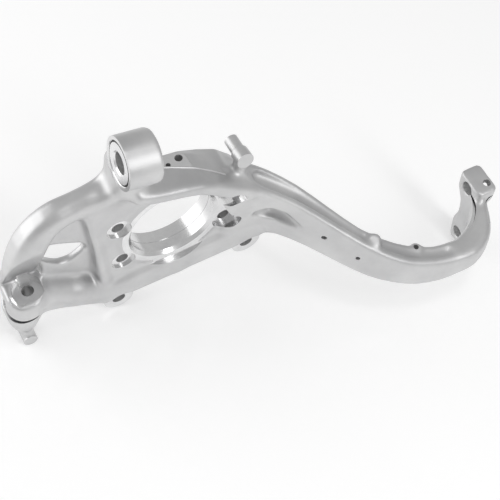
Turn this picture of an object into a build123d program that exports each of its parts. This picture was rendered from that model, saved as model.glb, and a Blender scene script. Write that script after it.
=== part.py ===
from build123d import *
import os

os.makedirs("parts", exist_ok=True)

# Steering knuckle with a swan neck, one forging, and the steel bush pressed into its
# tie rod boss. All sizes in mm.
#
# The part is built in the wheel bearing's own axes: X is up in the car, Y runs along
# the car from the caliper ears to the tie rod boss, and Z points inboard from the
# bearing flange face. At the end both pieces are laid on their side, as they rest.

# ---- wheel bearing seat -------------------------------------------------------------
bearing_bore = 92.0          # bore that centres the bearing unit
bore_chamfer = 3.5
flange_thick = 29.0          # flange from its inboard face to its outboard face
bolt_span_up = 114.0         # bearing bolts, across the car's height
bolt_span_along = 57.0       # bearing bolts, along the car
bolt_hole = 13.0             # clearance for M12
spot_dia = 25.0              # milled seats for the bolt heads
spot_depth = 2.5

# ---- caliper ears -------------------------------------------------------------------
ear_low_up = -67.0           # height of the lower ear in the car
ear_high_up = 85.0
ear_along = -103.0
ear_radius = 17.0
ear_face = -4.0              # milled inboard face of both ears
ear_back = -30.0
ear_hole = 14.5              # clearance for M14

# ---- tie rod boss and its bush ------------------------------------------------------
boss_front = (-50.0, 140.0, 2.0)      # centre of the milled end face
boss_axis = (-0.984, 0.176, -0.017)   # out of the milled end face
boss_radius = 26.0
boss_length = 34.0
boss_flat = 24.0             # milled flat on the boss, from its axis
bush_seat = 21.5             # radius of the seat that the bush is pressed into
bush_clear = 0.05            # drawn clearance of the press fit
bush_bore = 10.75
bush_chamfer = 0.8
bush_length = 33.0
bush_recess = 0.4            # bush face below the milled face of the boss

# ---- lower ball joint clamp ---------------------------------------------------------
clamp_near = -20.0           # milled seat of the pinch bolt
clamp_far = -76.0
clamp_slit_mid = -46.0
clamp_slit = 6.0
stud_bore = 20.0
stud_z = -25.0
stud_end = -140.0            # bottom of the stud bore
pinch_up = -156.5
pinch_z = -8.0
pinch_hole = 12.5
pinch_seat = 15.0            # radius of the cutter that mills the pinch bolt's seat
seat_height = 12.0           # wall that this cutter leaves above the seat

# ---- head that takes the two upper links --------------------------------------------
head_bore = 16.0             # bores for the two link studs
head_slit = 3.0
head_hole = 9.0              # long pinch bolt through the head
head_near = (355.0, -110.0, 45.0)     # middle of the near stud bore
head_far = (348.0, -183.0, 56.0)
head_bolt = ((361.0, -85.0, 53.0), (355.0, -215.0, 64.0))   # the long bolt's line

# ---- laying it down ------------------------------------------------------------------
lean = 11.6                  # turn about the bearing axis that brings it to rest


def unit(v):
    return Vector(*v).normalized()


def turned(c, along, across, wide, deep, r):
    """Rounded section at c, square to along, with its width along across."""
    n = Vector(*along).normalized()
    a = Vector(*across)
    a = (a - n * a.dot(n)).normalized()
    return Plane(origin=c, x_dir=a, z_dir=n) * RectangleRounded(wide, deep, r)


def smooth(rows):
    """The rows of numbers, with one more between each two on a smooth curve."""
    out = []
    for i, (p, q) in enumerate(zip(rows, rows[1:])):
        before, after = rows[max(i - 1, 0)], rows[min(i + 2, len(rows) - 1)]
        out += [p, tuple((9 * (b + c) - a - d) / 16 for a, b, c, d in zip(before, p, q, after))]
    return out + [rows[-1]]


def limb(stations, across):
    """Straight-ruled loft through stations (centre, width, depth, corner radius)."""
    rows = [(*c, w, d, r) for c, w, d, r in stations]
    if len(rows) > 2:
        rows = smooth(rows)
    faces = []
    for i, (x, y, z, w, d, r) in enumerate(rows):
        before = Vector(*rows[max(i - 1, 0)][:3])
        after = Vector(*rows[min(i + 1, len(rows) - 1)][:3])
        faces.append(turned((x, y, z), tuple(after - before), across, w, d, r))
    return loft(faces, ruled=True)


def rod(a, b, r):
    """Cylinder of radius r from a to b."""
    a, b = Vector(*a), Vector(*b)
    return Plane(origin=a, z_dir=b - a) * extrude(Circle(r), (b - a).length)


def slab(points, low, high, r=0.0):
    """Upright slab on an outline in X and Y, with its corners rounded by r."""
    s = extrude(Plane.XY.offset(low) * make_face(Polyline(*points, close=True)), high - low)
    return fillet(s.edges().filter_by(Axis.Z), r) if r else s


# ---- bearing flange, with the land around the bore -----------------------------------
cast_face = -2.0             # forged inboard face of the flange; its milled land is at 0
land_radius = 57.5
flange = slab([(-83, -72), (-84, 60), (-62, 84), (-12, 83), (20, 78), (40, 69), (60, 57),
               (76, 38), (88, 15), (92, -30), (86, -75), (40, -80)], -flange_thick, cast_face, 9)
land = Plane.XY.offset(cast_face - 4) * extrude(Circle(land_radius), 4 - cast_face)

# ---- lower beam and the caliper ears under it ----------------------------------------
beam = limb([((-86, -80, -13), 38, 30, 12), ((-45, -75, -12), 42, 33, 13),
             ((40, -74, -12), 42, 33, 13), ((98, -72, -11), 42, 34, 12)], (0, 1, 0))
ears = Part()
for up in (ear_low_up, ear_high_up):
    ears += rod((up, ear_along, ear_back), (up, ear_along, ear_face), ear_radius)
    ears += limb([((up, ear_along, -17), 30, 26, 6), ((up, -84, -14), 44, 30, 6)], (1, 0, 0))

# ---- upper beam: the rib that carries the neck over the bore -------------------------
rib = limb([((-44, 96, 0), 16, 44, 6), ((-12, 85, 0), 15, 46, 6), ((22, 73, -1), 16, 48, 6),
            ((52, 50, -1), 18, 48, 6), ((80, 24, 0), 20, 46, 6)], (0, 1, 0))

# ---- neck: corner points of each section, in order up the neck -----------------------
# ridge: inboard edge on the boss side; rim: outboard edge there; foot: caliper side
neck_edges = [
    ((34, 58, 8), (42, 56, -20), (58, -86, -4)),
    ((50, 54, 22), (58, 52, -20), (70, -88, 0)),
    ((73, 42, 23), (84, 40, -13), (94, -92, -1)),
    ((94, 24, 28), (106, 24, -5), (112, -88, 11)),
    ((122, -1, 40), (134, -1, 11), (133, -86, 42)),
    ((149, -28, 58), (160, -28, 33), (156, -96, 71)),
    ((175, -52, 79), (185, -52, 57), (181, -110, 95)),
    ((198, -70, 96), (208, -70, 73), (206, -122, 109)),
    ((224, -86, 110), (233, -86, 85), (233, -133, 118)),
    ((254, -98, 118), (262, -98, 94), (264, -141, 122)),
    ((279, -104, 122), (284, -104, 95), (288, -143, 122)),
    ((305, -106, 123), (297, -107, 94), (308, -143, 121)),
    ((328, -107, 112), (315, -108, 86), (330, -143, 110)),
    ((342, -107, 95), (327, -108, 76), (344, -142, 93)),
    ((350, -107, 77), (336, -108, 64), (352, -140, 75)),
    ((358, -108, 58), (345, -109, 49), (360, -138, 56)),
]
neck_edges = [(row[0:3], row[3:6], row[6:9]) for row in smooth([a + b + c for a, b, c in neck_edges])]


def plate(corners, r):
    """Flat face on corner points, with its corners rounded by r."""
    f = Face(Wire.make_polygon(corners, close=True))
    return f.fillet_2d(r, f.vertices())


def band(edges, from_rim, to_rim, from_foot, to_foot, r):
    """Loft whose corners lie at these shares of each section's depth and width."""
    faces = []
    for ridge, rim, foot in edges:
        a, to_c, to_b = Vector(*ridge), Vector(*rim) - Vector(*ridge), Vector(*foot) - Vector(*ridge)
        at = lambda s, w: a + to_c * s + to_b * w
        faces.append(plate([at(from_rim, from_foot), at(from_rim, to_foot),
                            at(to_rim, to_foot), at(to_rim, from_foot)],
                           min(r, 0.36 * to_c.length * abs(to_rim - from_rim))))
    return loft(faces, ruled=True)


neck = band(neck_edges, 0, 1, 0, 1, 8)
# the web between ridge and rim is sunk, and so is the inboard side below the ridge
neck -= band(neck_edges[4:21], 0.28, 0.82, -0.2, 0.1, 2)
hollow = []
for (ridge, rim, foot), start, end, depth in zip(
        (neck_edges[4], *neck_edges[6:9]),
        (0.46, 0.28, 0.28, 0.46), (0.62, 0.62, 0.63, 0.60), (0.10, 0.48, 0.42, 0.08)):
    a, to_c, to_b = Vector(*ridge), Vector(*rim) - Vector(*ridge), Vector(*foot) - Vector(*ridge)
    hollow.append(plate([a + to_b * start - to_c * 0.4, a + to_b * end - to_c * 0.4,
                         a + to_b * (end - 0.04) + to_c * depth,
                         a + to_b * (start + 0.04) + to_c * depth], 2))
neck -= loft(hollow, ruled=True)

# ---- head for the two upper links ----------------------------------------------------
head = limb([((355, -98, 47), 26, 39, 6), ((354, -120, 47), 27, 38, 7),
             ((351, -136, 50), 22, 24, 7), ((349, -158, 53), 22, 22, 7),
             ((348, -170, 55), 25, 31, 7), ((347, -199, 58), 25, 32, 8)], (1, 0, 0))

# ---- tie rod boss --------------------------------------------------------------------
axis = unit(boss_axis)
root_way = Vector(-0.083, -0.803, -0.479)
root_way = (root_way - axis * root_way.dot(axis)).normalized()
face_plane = Plane(origin=boss_front, x_dir=root_way, z_dir=axis)
boss = face_plane * extrude(Circle(boss_radius), -boss_length)
boss += face_plane * Pos(22, 0, 0) * extrude(RectangleRounded(46, 38, 7), -18)
boss_root = limb([((-40, 112, -6), 36, 38, 9), ((-45, 92, -12), 44, 36, 10),
                  ((-48, 70, -15), 54, 26, 8)], (1, 0, 0))

# ---- frame to the lower ball joint: two arms, a thin panel between, a column ---------
upper_arm = limb([((-46, 88, -12), 28, 30, 9), ((-82, 80, -15), 26, 27, 10),
                  ((-108, 77, -15), 26, 27, 10), ((-126, 68, -15), 28, 28, 10),
                  ((-141, 50, -15), 32, 30, 10), ((-151, 26, -15), 35, 32, 11),
                  ((-156, 2, -15), 36, 38, 12), ((-160, -24, -14), 37, 46, 13)], (0.6, 0.8, 0))
lower_arm = limb([((-156, -46, -14), 34, 30, 10), ((-134, -54, -14), 34, 27, 10),
                  ((-109, -66, -14), 34, 26, 10), ((-80, -80, -14), 36, 28, 10)], (0, 1, 0))
panel = slab([(-150, 40), (-120, 74), (-76, 72), (-74, -72), (-110, -62), (-150, -50)],
             -23, -14)
window = slab([(-134, 12), (-133, 28), (-128, 33), (-112, 25), (-93, 13), (-88, 5),
               (-95, -3), (-107, -9), (-118, -7), (-127, 2)], -40, 10, 3.5)
fold = limb([((-84, 80, -14), 12, 20, 5), ((-80, 10, -11), 10, 22, 4),
             ((-78, -66, -11), 14, 24, 6)], (1, 0, 0))

# ---- lower ball joint clamp ----------------------------------------------------------
near_ear = limb([((-160, -6, -14), 37, 44, 13), ((-161, clamp_near - 4, -14), 37, 50, 15),
                 ((-162, clamp_slit_mid, -14), 36, 50, 16)], (1, 0, 0))
far_ear = limb([((-164, clamp_slit_mid, -15), 36, 48, 16), ((-167, -62, -15), 34, 46, 16),
                ((-168, clamp_far, -13), 26, 36, 12)], (1, 0, 0))
lug = rod((-169.5, -92, -22), (-169.5, -92, 6), 7.5)
lug += limb([((-168, clamp_far + 6, -8), 16, 22, 6), ((-169.5, -92, -8), 13, 18, 5)], (1, 0, 0))

# ---- small bosses: stop peg on the upper beam, clip pads on the neck -----------------
peg_radius = 7.0
peg = rod((75, 69, -22), (75, 70, 6), peg_radius)
peg += rod((75, 70, -4), (75, 72, 9), peg_radius + 1.8)
peg += rod((75, 70, 0), (73, 46, 0), peg_radius + 0.5)
pads = rod((195, -72, 74), (195, -60, 79), 7) + rod((243, -107, 91), (242, -93, 92), 6.5)

knuckle = (flange + land + beam + ears + rib + neck + head + boss + boss_root + upper_arm
           + lower_arm + panel + fold + near_ear + far_ear + lug + peg + pads)
knuckle -= window

# ---- machining -----------------------------------------------------------------------
knuckle -= rod((0, 0, -flange_thick - 40), (0, 0, 40), bearing_bore / 2)
knuckle -= Pos(0, 0, -bore_chamfer) * Cone(bearing_bore / 2, bearing_bore / 2 + bore_chamfer,
                                           bore_chamfer, align=(Align.CENTER, Align.CENTER, Align.MIN))
knuckle -= rod((0, 0, -flange_thick - 40), (0, 0, -flange_thick), 78)
for sx in (-1, 1):
    for sy in (-1, 1):
        x, y = sx * bolt_span_up / 2, sy * bolt_span_along / 2
        knuckle -= rod((x, y, -60), (x, y, 30), bolt_hole / 2)
        knuckle -= rod((x, y, cast_face - spot_depth), (x, y, 16), spot_dia / 2)
for up in (ear_low_up, ear_high_up):
    knuckle -= rod((up, ear_along, -60), (up, ear_along, 20), ear_hole / 2)
    knuckle -= rod((up, ear_along, ear_face), (up, ear_along, 24), ear_radius + 1.5)

# bush seat in the boss, and its milled end face
knuckle -= face_plane * extrude(Circle(boss_radius + 26), 30)
knuckle -= face_plane * extrude(Circle(bush_seat), -boss_length - 6)
flat_way = Vector(0.169, 0.566, -0.807)
flat_way = (flat_way - axis * flat_way.dot(axis)).normalized()
knuckle -= Plane(origin=Vector(*boss_front) + flat_way * boss_flat, x_dir=axis, z_dir=flat_way) * (
    Pos(-boss_length / 2 - 1, 0, 0) * extrude(Rectangle(boss_length + 8, 34), 12))

# lower ball joint clamp: stud bore, slit, pinch bolt hole and its seat
knuckle -= rod((-230, clamp_slit_mid, stud_z), (stud_end, clamp_slit_mid, stud_z), stud_bore / 2)
knuckle -= Pos(-165, clamp_slit_mid, stud_z) * Box(80, clamp_slit, 60,
                                                   align=(Align.CENTER, Align.CENTER, Align.MIN))
seat_top = clamp_near + seat_height
seat = rod((pinch_up, clamp_near, pinch_z), (pinch_up, seat_top, pinch_z), pinch_seat)
seat += Pos(pinch_up, clamp_near, pinch_z) * Box(2 * pinch_seat, seat_height, 40,
                                                 align=(Align.CENTER, Align.MIN, Align.MIN))
knuckle -= seat
# above the seat the arm falls away, so that the cutter reaches it
relief = Plane(origin=(pinch_up, seat_top - 1, pinch_z - 13), x_dir=(1, 0, 0), z_dir=(0, -0.36, 0.933))
knuckle -= relief * Box(40, 62, 40, align=(Align.CENTER, Align.MIN, Align.MIN))
knuckle -= rod((pinch_up, -120, pinch_z), (pinch_up, clamp_near + 2, pinch_z), pinch_hole / 2)

# head: two stud bores, a slit from each, and the long pinch bolt's hole
for x, y, z in (head_near, head_far):
    knuckle -= rod((x - 40, y, z), (x + 40, y, z), head_bore / 2)
    knuckle -= Pos(x, y, z) * Box(80, head_slit, 60, align=(Align.CENTER, Align.CENTER, Align.MIN))
knuckle -= rod(*head_bolt, head_hole / 2)

# small blind holes: clip holes in the neck, sensor and line holes in the upper beam
into_neck = unit((11, 0, -26))
for centre, r in (((144.4, -51.7, 56.9), 3.0), ((172.9, -77.2, 82.5), 2.5)):
    knuckle -= rod(Vector(*centre) - into_neck * 8, Vector(*centre) + into_neck * 13, r)
for x, y, z, r in ((4.5, 82, -15, 2.5), (17, 80, -18, 4.0)):
    knuckle -= rod((x, y - 14, z), (x, y + 10, z), r)
knuckle -= rod((242, -105, 91.5), (242, -80, 92.5), 3.0)

# ---- steel bush ----------------------------------------------------------------------
bush_plane = Plane(origin=Vector(*boss_front) - axis * bush_recess, x_dir=root_way, z_dir=axis)
bush = extrude(Circle(bush_seat - bush_clear) - Circle(bush_bore), -bush_length)
bush = bush_plane * chamfer(bush.edges(), bush_chamfer)

# ---- laid down: bearing axis level and pointing outboard along Y, with the lug, an ear
# and the head on the floor; the origin is the middle of the bearing bore ---------------
for name, solid in (("knuckle", knuckle), ("bush", bush)):
    upright = Rot(90, 0, 0) * (Pos(0, 0, flange_thick / 2) * solid)
    export_step(Rot(0, -lean, 0) * upright, f"parts/{name}.step")
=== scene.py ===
import bmesh
import bpy
import math
import numpy as np
import openvdb as vdb
from mathutils import Matrix, Vector
from mathutils.bvhtree import BVHTree


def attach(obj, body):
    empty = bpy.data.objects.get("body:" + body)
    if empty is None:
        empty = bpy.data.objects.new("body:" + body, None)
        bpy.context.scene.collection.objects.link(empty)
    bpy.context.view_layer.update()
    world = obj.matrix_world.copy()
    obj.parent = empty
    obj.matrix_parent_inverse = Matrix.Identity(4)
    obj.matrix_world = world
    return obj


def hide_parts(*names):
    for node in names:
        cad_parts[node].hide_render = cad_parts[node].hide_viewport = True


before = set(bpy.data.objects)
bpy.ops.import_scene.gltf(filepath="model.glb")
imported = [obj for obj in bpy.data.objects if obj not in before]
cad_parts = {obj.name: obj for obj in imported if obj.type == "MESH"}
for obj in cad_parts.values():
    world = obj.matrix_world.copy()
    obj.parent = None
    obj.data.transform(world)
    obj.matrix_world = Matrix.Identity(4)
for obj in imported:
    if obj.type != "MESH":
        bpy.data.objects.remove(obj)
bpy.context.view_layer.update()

# ---------------------------------------------------------------------------------------
# Places are given in the wheel bearing's own axes, in mm: u is up in the car, w runs from
# the caliper ears to the tie rod boss, t points inboard from the flange's milled land.
# ---------------------------------------------------------------------------------------
MM = 0.001
LEAN = math.radians(11.6)           # how far u stands above level
CL, SL = math.cos(LEAN), math.sin(LEAN)
LAND = 14.5                         # the milled land, from the middle of the bearing bore


def way(u, w, t):
    """Direction in the part's frame."""
    return Vector((CL * u - SL * w, -t, SL * u + CL * w))


def at(u, w, t):
    """Place in the part's frame, in metres."""
    return way(u, w, t + LAND) * MM


# ---------------------------------------------------------------------------------------
# Driving sizes, in mm
# ---------------------------------------------------------------------------------------
PILOT_R = 46                        # bearing bore
PILOT_MOUTH_R = 49.7                # where its lead-in meets the land
LAND_R = 63
BOLT_US, BOLT_WS = (-57, 57), (-28.5, 28.5)
BOLT_R = 6.5
BOLT_SEAT = -4.5                    # milled face under the bolt heads
EAR_US, EAR_W, EAR_R = (-67, 85), -103, 7.25
EAR_FACE, EAR_FACE_R = -4, 18.5
BOSS = Vector((-50, 140, 2))        # middle of the tie rod boss's end face
BOSS_AXIS = Vector((-0.984, 0.176, -0.017)).normalized()
BOSS_R = 26
BUSH_SEAT_R, BUSH_MOUTH_R = 21.5, 22.5
STUD_W, STUD_T, STUD_R = -46, -25, 10             # lower ball joint's clamp
PINCH_U, PINCH_T, PINCH_R = -156.5, -8, 6.25      # its pinch bolt
PINCH_SEAT_R = 15
STUB_U, STUB_W, STUB_R = -169.5, -92, 7.5
PEG_U, PEG_W, PEG_R, PEG_COLLAR_R = 75, 70, 7, 8.8
LINKS = ((355, -110, 45), (348, -183, 56))        # bores of the head
LINK_R, LINK_REACH, LINK_SLIT = 8, 40, 1.5
PLATE_W = 80.6                      # milled plate on the upper beam


def boss(along):
    """Place on the tie rod boss's axis, from its end face."""
    return tuple(BOSS + BOSS_AXIS * along)


# ---------------------------------------------------------------------------------------
# Camera
# ---------------------------------------------------------------------------------------
CAM_RIGHT = way(0.88353, 0.01770, 0.46804)
CAM_UP = way(0.39366, 0.51340, -0.76253)
CAM_BACK = way(-0.25378, 0.85797, 0.44664)


def look(right, up, back, place):
    """Matrix with these axes and this place."""
    m = Matrix.Identity(4)
    for row in range(3):
        m[row][0], m[row][1], m[row][2] = right[row], up[row], back[row]
        m[row][3] = place[row]
    return m


cam = bpy.data.objects.new("Camera", bpy.data.cameras.new("Camera"))
bpy.context.scene.collection.objects.link(cam)
cam.matrix_world = look(CAM_RIGHT, CAM_UP, CAM_BACK, at(-246.71, 1014.84, 589.50))
cam.data.lens = 86.4
cam.data.sensor_width = 36.0
cam.data.clip_start, cam.data.clip_end = 0.05, 30.0
bpy.context.scene.camera = cam


# ---------------------------------------------------------------------------------------
# The forging's blank: the CAD body as a distance field, with forged radii
# ---------------------------------------------------------------------------------------
VOXEL = 0.0016
BAND = 9                            # voxels of distance kept on each side of the surface
MARGIN = 14                         # voxels round the part
FILLET = 0.0055
BOSS_FILLET = 0.0125
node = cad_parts["knuckle"]
mesh = node.data
mesh.calc_loop_triangles()
points = np.empty(len(mesh.vertices) * 3, dtype=np.float32)
mesh.vertices.foreach_get("co", points)
points = points.reshape(-1, 3)
tris = np.empty(len(mesh.loop_triangles) * 3, dtype=np.int32)
mesh.loop_triangles.foreach_get("vertices", tris)
tris = tris.reshape(-1, 3)
grid_step = vdb.createLinearTransform(voxelSize=VOXEL)
low = np.floor(points.min(axis=0) / VOXEL).astype(int) - MARGIN
high = np.ceil(points.max(axis=0) / VOXEL).astype(int) + MARGIN
shape = tuple(int(n) for n in high - low)
axes = [np.arange(low[i], high[i], dtype=np.float32) * VOXEL for i in range(3)]
gx, gy, gz = np.meshgrid(*axes, indexing="ij", sparse=True)


def distance(points, **faces):
    """Dense signed distance to a mesh of triangles or of quads, in metres."""
    grid = vdb.FloatGrid.createLevelSetFromPolygons(points, transform=grid_step, halfWidth=BAND, **faces)
    dense = np.zeros(shape, dtype=np.float32)
    grid.copyToArray(dense, ijk=tuple(int(n) for n in low))
    return dense


def surface(dense, level=0.0):
    """Quad mesh of a dense distance field at a level."""
    grid = vdb.FloatGrid(BAND * VOXEL)
    grid.transform = grid_step
    grid.copyFromArray(dense, ijk=tuple(int(n) for n in low))
    return grid.convertToQuads(level)


def filleted(dense, radius):
    """Swell by a radius and shrink back, which rounds the inner corners."""
    pts, quads = surface(dense, radius)
    return distance(pts, quads=quads) + radius


def near_to(u, w, t, reach, fade):
    """1 close to a point, 0 far from it."""
    c = at(u, w, t)
    away = np.sqrt((gx - c.x) ** 2 + (gy - c.y) ** 2 + (gz - c.z) ** 2)
    return np.clip((reach + fade - away * 1000) / fade, 0, 1)


def blurred(dense, mm):
    """Gaussian blur of a dense field."""
    sigma = mm / (VOXEL * 1000)
    reach = int(math.ceil(3 * sigma))
    weights = np.exp(-0.5 * (np.arange(-reach, reach + 1) / sigma) ** 2)
    weights /= weights.sum()
    for axis in range(3):
        padded = np.pad(dense, [(reach, reach) if i == axis else (0, 0) for i in range(3)], mode="edge")
        dense = sum(np.float32(w) * np.take(padded, np.arange(k, k + dense.shape[axis]), axis=axis)
                    for k, w in enumerate(weights))
    return dense


def rod_field(a, b, r):
    """Distance to a solid cylinder from a to b."""
    axis = (b - a).normalized()
    half, mid = (b - a).length / 2, (a + b) / 2
    dx, dy, dz = gx - mid.x, gy - mid.y, gz - mid.z
    along = dx * axis.x + dy * axis.y + dz * axis.z
    radial = np.sqrt(np.maximum(dx * dx + dy * dy + dz * dz - along * along, 0))
    side, end = radial - r, np.abs(along) - half
    outside = np.sqrt(np.maximum(side, 0) ** 2 + np.maximum(end, 0) ** 2)
    return np.minimum(np.maximum(side, end), 0) + outside


def plane_field(place, out):
    """Distance past a plane, along its way out."""
    return (gx - place.x) * out.x + (gy - place.y) * out.y + (gz - place.z) * out.z


def filled(dense, a, b, r):
    """Add stock that the cutters below take away again, which keeps their edges crisp."""
    return np.minimum(dense, rod_field(at(*a), at(*b), r * MM))


def swollen(dense, path, blend=0.006):
    """Add a rounded bar through (point, radius) stations, run softly into the blank."""
    for (a, ra), (b, rb) in zip(path, path[1:]):
        a, b = at(*a), at(*b)
        ab = b - a
        dx, dy, dz = gx - a.x, gy - a.y, gz - a.z
        h = np.clip((dx * ab.x + dy * ab.y + dz * ab.z) / ab.length_squared, 0, 1)
        to_line = np.sqrt((dx - h * ab.x) ** 2 + (dy - h * ab.y) ** 2 + (dz - h * ab.z) ** 2)
        bar = to_line - (ra + (rb - ra) * h) * MM
        near = np.maximum(blend - np.abs(dense - bar), 0) / blend
        dense = np.minimum(dense, bar) - near * near * blend / 4
    return dense


def leaned(dense, round_off=0.003):
    """Lean the column back above the pinch bolt's seat."""
    leaning = -plane_field(at(PINCH_U, -9, -21), way(0, -0.36, 0.933))
    leaning = np.maximum(leaning, plane_field(at(-140, -14, 0), way(0.989, -0.147, 0)))
    leaning = np.maximum(leaning, plane_field(at(0, -14, 0), way(0, -1, 0)))
    rim = np.maximum(round_off - np.abs(dense + leaning), 0) / round_off
    return np.maximum(dense, -leaning) + rim * rim * round_off / 4


def blank_field():
    raw = distance(points, triangles=tris)
    field = filleted(raw, FILLET)
    # no wide fillet round the peg
    keep = near_to(PEG_U, 72, -8, 20, 6)
    field = field * (1 - keep) + raw * keep
    # the boss root runs out in wide radii
    wide = filleted(field, BOSS_FILLET)
    near = near_to(-66, 100, -12, 34, 18)
    field = field * (1 - near) + blurred(np.minimum(field, wide), 4.5) * near
    field = leaned(field)
    # the lower arm and the lower beam are full and round towards the viewer
    field = swollen(field, (((-150, -32, -15), 18.5), ((-109, -60, -15), 18.5), ((-78, -84, -15), 17)))
    field = swollen(field, (((-74, -84, -14), 15.5), ((0, -80, -13), 17), ((82, -86, -14), 15.5)))
    field = filled(field, (0, 0, -28), (0, 0, 2.5), 54)
    for u in BOLT_US:
        for w in BOLT_WS:
            field = filled(field, (u, w, -29), (u, w, -2), 15)
    for u in EAR_US:
        field = filled(field, (u, EAR_W, -29), (u, EAR_W, 1), 17)
    field = filled(field, boss(-33), boss(4), BOSS_R)
    # soften the whole blank a little
    return blurred(field.astype(np.float32), 1.5)


pts, quads = surface(blank_field())
blank = bpy.data.meshes.new("forging")
blank.from_pydata(pts.tolist(), [], quads.tolist())
blank.update()
forging = bpy.data.objects.new("forging", blank)
bpy.context.scene.collection.objects.link(forging)


# ---------------------------------------------------------------------------------------
# Materials
# ---------------------------------------------------------------------------------------
def material(name):
    m = bpy.data.materials.new(name)
    m.use_nodes = True
    return m, m.node_tree.nodes, m.node_tree.links


def metal(name, dark, light, rough_low, rough_high, grain, bump, blotch):
    """Bare metal: blotchy colour and roughness, with a fine grain."""
    m, n, l = material(name)
    b = n["Principled BSDF"]
    b.inputs["Metallic"].default_value = 1.0
    where = n.new("ShaderNodeTexCoord")
    big = n.new("ShaderNodeTexNoise")
    big.inputs["Scale"].default_value = blotch
    big.inputs["Detail"].default_value = 5.0
    big.inputs["Roughness"].default_value = 0.6
    l.new(where.outputs["Object"], big.inputs["Vector"])
    ramp = n.new("ShaderNodeValToRGB")
    ramp.color_ramp.elements[0].position, ramp.color_ramp.elements[0].color = 0.34, (*dark, 1)
    ramp.color_ramp.elements[1].position, ramp.color_ramp.elements[1].color = 0.66, (*light, 1)
    l.new(big.outputs["Fac"], ramp.inputs["Fac"])
    l.new(ramp.outputs["Color"], b.inputs["Base Color"])
    span = n.new("ShaderNodeMapRange")
    span.inputs["To Min"].default_value = rough_low
    span.inputs["To Max"].default_value = rough_high
    l.new(big.outputs["Fac"], span.inputs["Value"])
    l.new(span.outputs["Result"], b.inputs["Roughness"])
    fine = n.new("ShaderNodeTexNoise")
    fine.inputs["Scale"].default_value = grain
    fine.inputs["Detail"].default_value = 3.0
    l.new(where.outputs["Object"], fine.inputs["Vector"])
    raised = n.new("ShaderNodeBump")
    raised.inputs["Strength"].default_value = bump
    raised.inputs["Distance"].default_value = 0.0002
    l.new(fine.outputs["Fac"], raised.inputs["Height"])
    l.new(raised.outputs["Normal"], b.inputs["Normal"])
    return m


forged = metal("forged_aluminium", (0.56, 0.56, 0.565), (0.68, 0.68, 0.68), 0.38, 0.50, 900, 0.35, 14)
milled = metal("milled_aluminium", (0.70, 0.70, 0.705), (0.80, 0.80, 0.80), 0.14, 0.26, 1400, 0.15, 40)
# Near-black metal for the bush's outer chamfer: painted shade for the dark gap between the bush and the boss.
painted_gap_shade = metal("painted_gap_shadow", (0.05, 0.05, 0.05), (0.09, 0.09, 0.09), 0.5, 0.6, 900, 0.1, 40)
steel = metal("ground_steel", (0.78, 0.78, 0.79), (0.88, 0.88, 0.88), 0.18, 0.28, 1600, 0.15, 60)
bored = metal("drilled_aluminium", (0.55, 0.55, 0.55), (0.66, 0.66, 0.66), 0.35, 0.5, 1400, 0.15, 40)
bored.node_tree.nodes["Principled BSDF"].inputs["Metallic"].default_value = 0.75
for m in (forged, milled, bored):
    forging.data.materials.append(m)


# ---------------------------------------------------------------------------------------
# Machining tools
# ---------------------------------------------------------------------------------------
def closed(verts, faces, finish=None):
    """Closed mesh with its faces turned outwards."""
    me = bpy.data.meshes.new("cutter")
    me.from_pydata([tuple(v) for v in verts], [], faces)
    bm = bmesh.new()
    bm.from_mesh(me)
    bmesh.ops.recalc_face_normals(bm, faces=bm.faces)
    bm.to_mesh(me)
    bm.free()
    me.materials.append(finish or milled)
    return me


def circle(centre, side, other, r, segments, unit=MM):
    """Points round a centre."""
    turns = [2 * math.pi * i / segments for i in range(segments)]
    return [centre + (side * math.cos(turn) + other * math.sin(turn)) * r * unit for turn in turns]


def prism(rings, finish=None):
    """Closed mesh through rings of the same number of points."""
    segments = len(rings[0])
    verts = [v for ring in rings for v in ring]
    faces = [list(range(segments))[::-1], [len(verts) - segments + i for i in range(segments)]]
    for k in range(len(rings) - 1):
        for i in range(segments):
            j = (i + 1) % segments
            faces.append([k * segments + i, k * segments + j, (k + 1) * segments + j, (k + 1) * segments + i])
    return closed(verts, faces, finish)


def turned(stations, segments=96, finish=None):
    """Solid turned about a line, through (point on the line, radius) stations."""
    line = (stations[-1][0] - stations[0][0]).normalized()
    side = line.orthogonal().normalized()
    other = line.cross(side)
    return prism([circle(centre, side, other, r, segments) for centre, r in stations], finish)


def block(corners):
    """Cutter with eight corners, ordered by their first, second and third way."""
    sides = [[0, 1, 3, 2], [4, 6, 7, 5], [0, 4, 5, 1], [2, 3, 7, 6], [0, 2, 6, 4], [1, 5, 7, 3]]
    return closed(corners, sides)


def box(a, b):
    """Cutter between two corners in the bearing's axes."""
    us, ws, ts = zip(a, b)
    return block([at(u, w, t) for u in us for w in ws for t in ts])


def slab(origin, x, y, xs, ys, zs):
    """Cutter box on a plane given by two ways in the bearing's axes."""
    x, y = Vector(x).normalized(), Vector(y).normalized()
    z = x.cross(y)
    return block([at(*(Vector(origin) + x * i + y * j + z * k)) for i in xs for j in ys for k in zs])


def cut(me, operation="DIFFERENCE"):
    """Take a closed mesh away from the forging, or join it; the new faces keep its material."""
    tool = bpy.data.objects.new("cutter", me)
    bpy.context.scene.collection.objects.link(tool)
    mod = forging.modifiers.new("cut", "BOOLEAN")
    mod.operation, mod.object, mod.solver = operation, tool, "MANIFOLD"
    mod.material_mode = "TRANSFER"
    deps = bpy.context.evaluated_depsgraph_get()
    made = bpy.data.meshes.new_from_object(forging.evaluated_get(deps))
    forging.modifiers.clear()
    old, forging.data = forging.data, made
    bpy.data.meshes.remove(old)
    bpy.data.objects.remove(tool)


def counterbore(a, b, r):
    """Flat-bottomed milled cylinder from its face a out to b."""
    cut(turned([(at(*a), r), (at(*b), r)]))


def hole(a, b, r, segments=96):
    """Drilled hole from a to b."""
    cut(turned([(at(*a), r), (at(*b), r)], segments, bored))


def join(a, b, r):
    """Plain cylinder with crisp edges, joined to the forging."""
    cut(turned([(at(*a), r), (at(*b), r)], 64, forged), "UNION")


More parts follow.
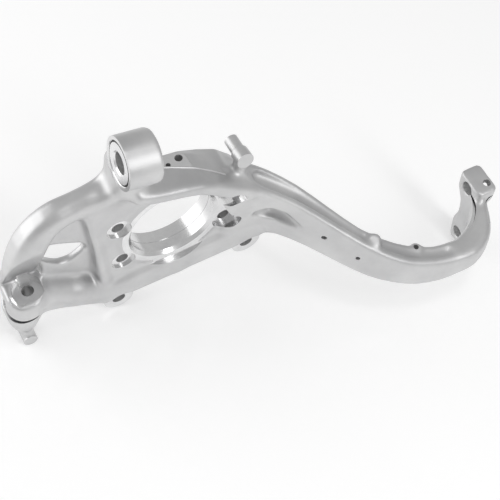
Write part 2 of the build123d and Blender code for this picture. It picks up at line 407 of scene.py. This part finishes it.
def ridge(path, r, segments=10):
    """Thin raised edge on the surface below these points, joined to the forging."""
    me = forging.data
    tree = BVHTree.FromPolygons([v.co for v in me.vertices], [tuple(f.vertices) for f in me.polygons])
    down, up = way(0, -1, 0), way(0, 1, 0)
    hits = [tree.ray_cast(at(*place), down)[0] for place in path]
    spine = [hit for hit in hits if hit is not None]
    rings = []
    for k, centre in enumerate(spine):
        line = (spine[min(k + 1, len(spine) - 1)] - spine[max(k - 1, 0)]).normalized()
        side = line.cross(up).normalized()
        rings.append(circle(centre, side, line.cross(side), r, segments))
    cut(prism(rings, forged), "UNION")


# ---------------------------------------------------------------------------------------
# Machining, feature by feature
# ---------------------------------------------------------------------------------------
def bolt_seat(u, w):
    """Radius and top of a bearing bolt's seat, in mm.

    At the neck's root the seats run a little wider, clear of the soft rim of the blank's own pocket.
    """
    if u < 0:
        return 12.8, 16
    if w < 0:
        return 14.4, 17
    return 13.2, 26


def machine_flange():
    counterbore((0, 0, 0), (0, 0, 12), LAND_R)
    groove_low, groove_high, groove_r = -15.1, -13.9, PILOT_R + 0.5
    bore = [(-70, PILOT_R), (groove_low, PILOT_R), (groove_low, groove_r), (groove_high, groove_r),
            (groove_high, PILOT_R), (-3.5, PILOT_R), (0.2, PILOT_MOUTH_R), (6, PILOT_MOUTH_R)]
    cut(turned([(at(0, 0, t), r) for t, r in bore], 160))
    for u in BOLT_US:
        for w in BOLT_WS:
            hole((u, w, -60), (u, w, 20), BOLT_R)
            seat_r, top = bolt_seat(u, w)
            counterbore((u, w, BOLT_SEAT), (u, w, top), seat_r)


def machine_ears():
    for u in EAR_US:
        hole((u, EAR_W, -60), (u, EAR_W, 20), EAR_R)
        counterbore((u, EAR_W, EAR_FACE), (u, EAR_W, 14), EAR_FACE_R)


def machine_boss():
    counterbore(boss(0), boss(18), BOSS_R + 2)
    bore = [(-42, BUSH_SEAT_R), (-0.8, BUSH_SEAT_R), (0.2, BUSH_MOUTH_R), (6, BUSH_MOUTH_R)]
    cut(turned([(at(*boss(along)), r) for along, r in bore]))


def machine_plate():
    """The upper beam's milled plate, with a thin ridge along its inboard side."""
    outline = [(-8, -42), (-8, -10.5), (15, -4.5), (27, -1.5), (54, 4.5), (60, -4), (58, -28), (40, -42)]
    cut(prism([[at(u, w, t) for u, t in outline] for w in (PLATE_W, 96)]))
    ridge([(u, 100, -9.6 + (u + 9) * 0.245) for u in range(-6, 55, 4)], 1.3)


def add_stub_and_peg():
    join((STUB_U, STUB_W, -22), (STUB_U, STUB_W, 6), STUB_R)
    join((PEG_U, PEG_W - 1, -22), (PEG_U, PEG_W, 6), PEG_R)
    join((PEG_U, PEG_W, -4), (PEG_U, PEG_W + 2, 9), PEG_COLLAR_R)


def machine_lug():
    """Ball joint bore, slit, and the pinch bolt's hole below its milled seat."""
    seat_w = -20
    hole((-230, STUD_W, STUD_T), (-140, STUD_W, STUD_T), STUD_R)
    cut(box((-205, STUD_W - 3, STUD_T), (-147, STUD_W + 3, 35)))
    counterbore((PINCH_U, seat_w, PINCH_T), (PINCH_U, -8, PINCH_T), PINCH_SEAT_R)
    seat_us = (-PINCH_SEAT_R, PINCH_SEAT_R)
    cut(slab((PINCH_U, seat_w, PINCH_T), (1, 0, 0), (0, 1, 0), seat_us, (0, 12), (0, 40)))
    cut(slab((PINCH_U, -9, -21), (1, 0, 0), (0, 0.933, 0.36), (-20, 20), (0, 62), (0, 40)))
    hole((PINCH_U, -120, PINCH_T), (PINCH_U, seat_w + 2, PINCH_T), PINCH_R)


def machine_head():
    for u, w, t in LINKS:
        hole((u - LINK_REACH, w, t), (u + LINK_REACH, w, t), LINK_R)
        cut(box((u - LINK_REACH, w - LINK_SLIT, t), (u + LINK_REACH, w + LINK_SLIT, t + 50)))
    hole((361, -85, 53), (355, -215, 64), 4.5)


def drill_small_holes():
    """Two clip holes in the neck, two holes in the plate and one in the neck's pad."""
    into = Vector((11, 0, -26)).normalized()
    for mouth, r in (((144.4, -51.7, 56.9), 3.0), ((172.9, -77.2, 82.5), 2.5)):
        hole(tuple(Vector(mouth) + into * 13), tuple(Vector(mouth) - into * 8), r, 32)
    for u, w, t, r in ((4.5, 82, -15, 2.5), (17, 80, -18, 4.0)):
        hole((u, w - 14, t), (u, w + 10, t), r, 32)
    hole((242, -105, 91.5), (242, -80, 92.5), 3.0, 32)


machine_flange()
machine_ears()
machine_boss()
machine_plate()
add_stub_and_peg()
machine_lug()
machine_head()
drill_small_holes()

me = forging.data
me.polygons.foreach_set("use_smooth", [True] * len(me.polygons))
me.set_sharp_from_angle(angle=math.radians(34))
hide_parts("knuckle")
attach(forging, "root")


# ---------------------------------------------------------------------------------------
# The pressed steel bush, turned
# ---------------------------------------------------------------------------------------
def turned_bush(segments=96):
    """Ring about the boss's axis, through (place on the axis, radius) points."""
    profile = [(-0.4, 12.3), (-0.4, 19.9), (-1.9, 21.45), (-32.6, 21.45), (-33.4, 20.6), (-33.4, 12.0),
               (-32.2, 10.8), (-1.9, 10.8)]
    chamfer_band, bore_band = 1, 6
    side = BOSS_AXIS.orthogonal().normalized()
    other = BOSS_AXIS.cross(side)
    verts = []
    for along, r in profile:
        verts += [at(*v) for v in circle(BOSS + BOSS_AXIS * along, side, other, r, segments, 1)]
    faces = []
    for k in range(len(profile)):
        here, there = k * segments, (k + 1) % len(profile) * segments
        faces += [[here + i, there + i, there + (i + 1) % segments, here + (i + 1) % segments]
                  for i in range(segments)]
    made = bpy.data.meshes.new("bush_turned")
    made.from_pydata(verts, [], faces)
    for m in (steel, bored, painted_gap_shade):
        made.materials.append(m)
    # The bush's outer chamfer band takes the near-black painted gap shade; its bore takes the drilled finish.
    for i, face in enumerate(made.polygons):
        face.use_smooth = True
        face.material_index = {chamfer_band: 2, bore_band: 1}.get(i // segments, 0)
    made.set_sharp_from_angle(angle=math.radians(30))
    return made


bush = bpy.data.objects.new("bush_turned", turned_bush())
bpy.context.scene.collection.objects.link(bush)
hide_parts("bush")
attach(bush, "root")

# ---------------------------------------------------------------------------------------
# Floor and light
# ---------------------------------------------------------------------------------------
FLOOR_HALF = 6
ground = min(v.co.z for v in node.data.vertices)
white, floor_nodes, _ = material("floor")
shader = floor_nodes["Principled BSDF"]
shader.inputs["Base Color"].default_value = (0.93, 0.93, 0.93, 1)
shader.inputs["Roughness"].default_value = 0.22
shader.inputs["Emission Color"].default_value = (1, 1, 1, 1)
shader.inputs["Emission Strength"].default_value = 0.25
floor_mesh = bpy.data.meshes.new("floor")
floor_corners = [(x * FLOOR_HALF, y * FLOOR_HALF, ground) for x, y in ((-1, -1), (1, -1), (1, 1), (-1, 1))]
floor_mesh.from_pydata(floor_corners, [], [(0, 1, 2, 3)])
floor_mesh.materials.append(white)
floor = bpy.data.objects.new("floor", floor_mesh)
bpy.context.scene.collection.objects.link(floor)

centre = at(90, -20, 30)


def softbox(name, direction, away, size, power, size_y=None):
    """Area light: direction is in the picture's own right, up and towards-the-viewer."""
    d = (CAM_RIGHT * direction[0] + CAM_UP * direction[1] + CAM_BACK * direction[2]).normalized()
    lamp = bpy.data.lights.new(name, "AREA")
    lamp.shape = "RECTANGLE"
    lamp.size, lamp.size_y, lamp.energy = size, size_y or size, power
    o = bpy.data.objects.new(name, lamp)
    o.location = centre + d * away
    o.rotation_mode = "QUATERNION"
    o.rotation_quaternion = d.to_track_quat("Z", "Y")
    bpy.context.scene.collection.objects.link(o)


softbox("left", (-0.95, 0.25, 0.2), 1.5, 1.4, 9)
softbox("right_front", (0.66, -0.1, 0.72), 1.7, 0.35, 6, 1.3)
softbox("overhead", (0.25, 0.5, 0.85), 2.2, 0.5, 4)

world = bpy.data.worlds.new("studio")
bpy.context.scene.world = world
world.use_nodes = True
world.node_tree.nodes["Background"].inputs["Color"].default_value = (1, 1, 1, 1)
world.node_tree.nodes["Background"].inputs["Strength"].default_value = 0.55
bpy.context.scene.view_settings.view_transform = "Standard"
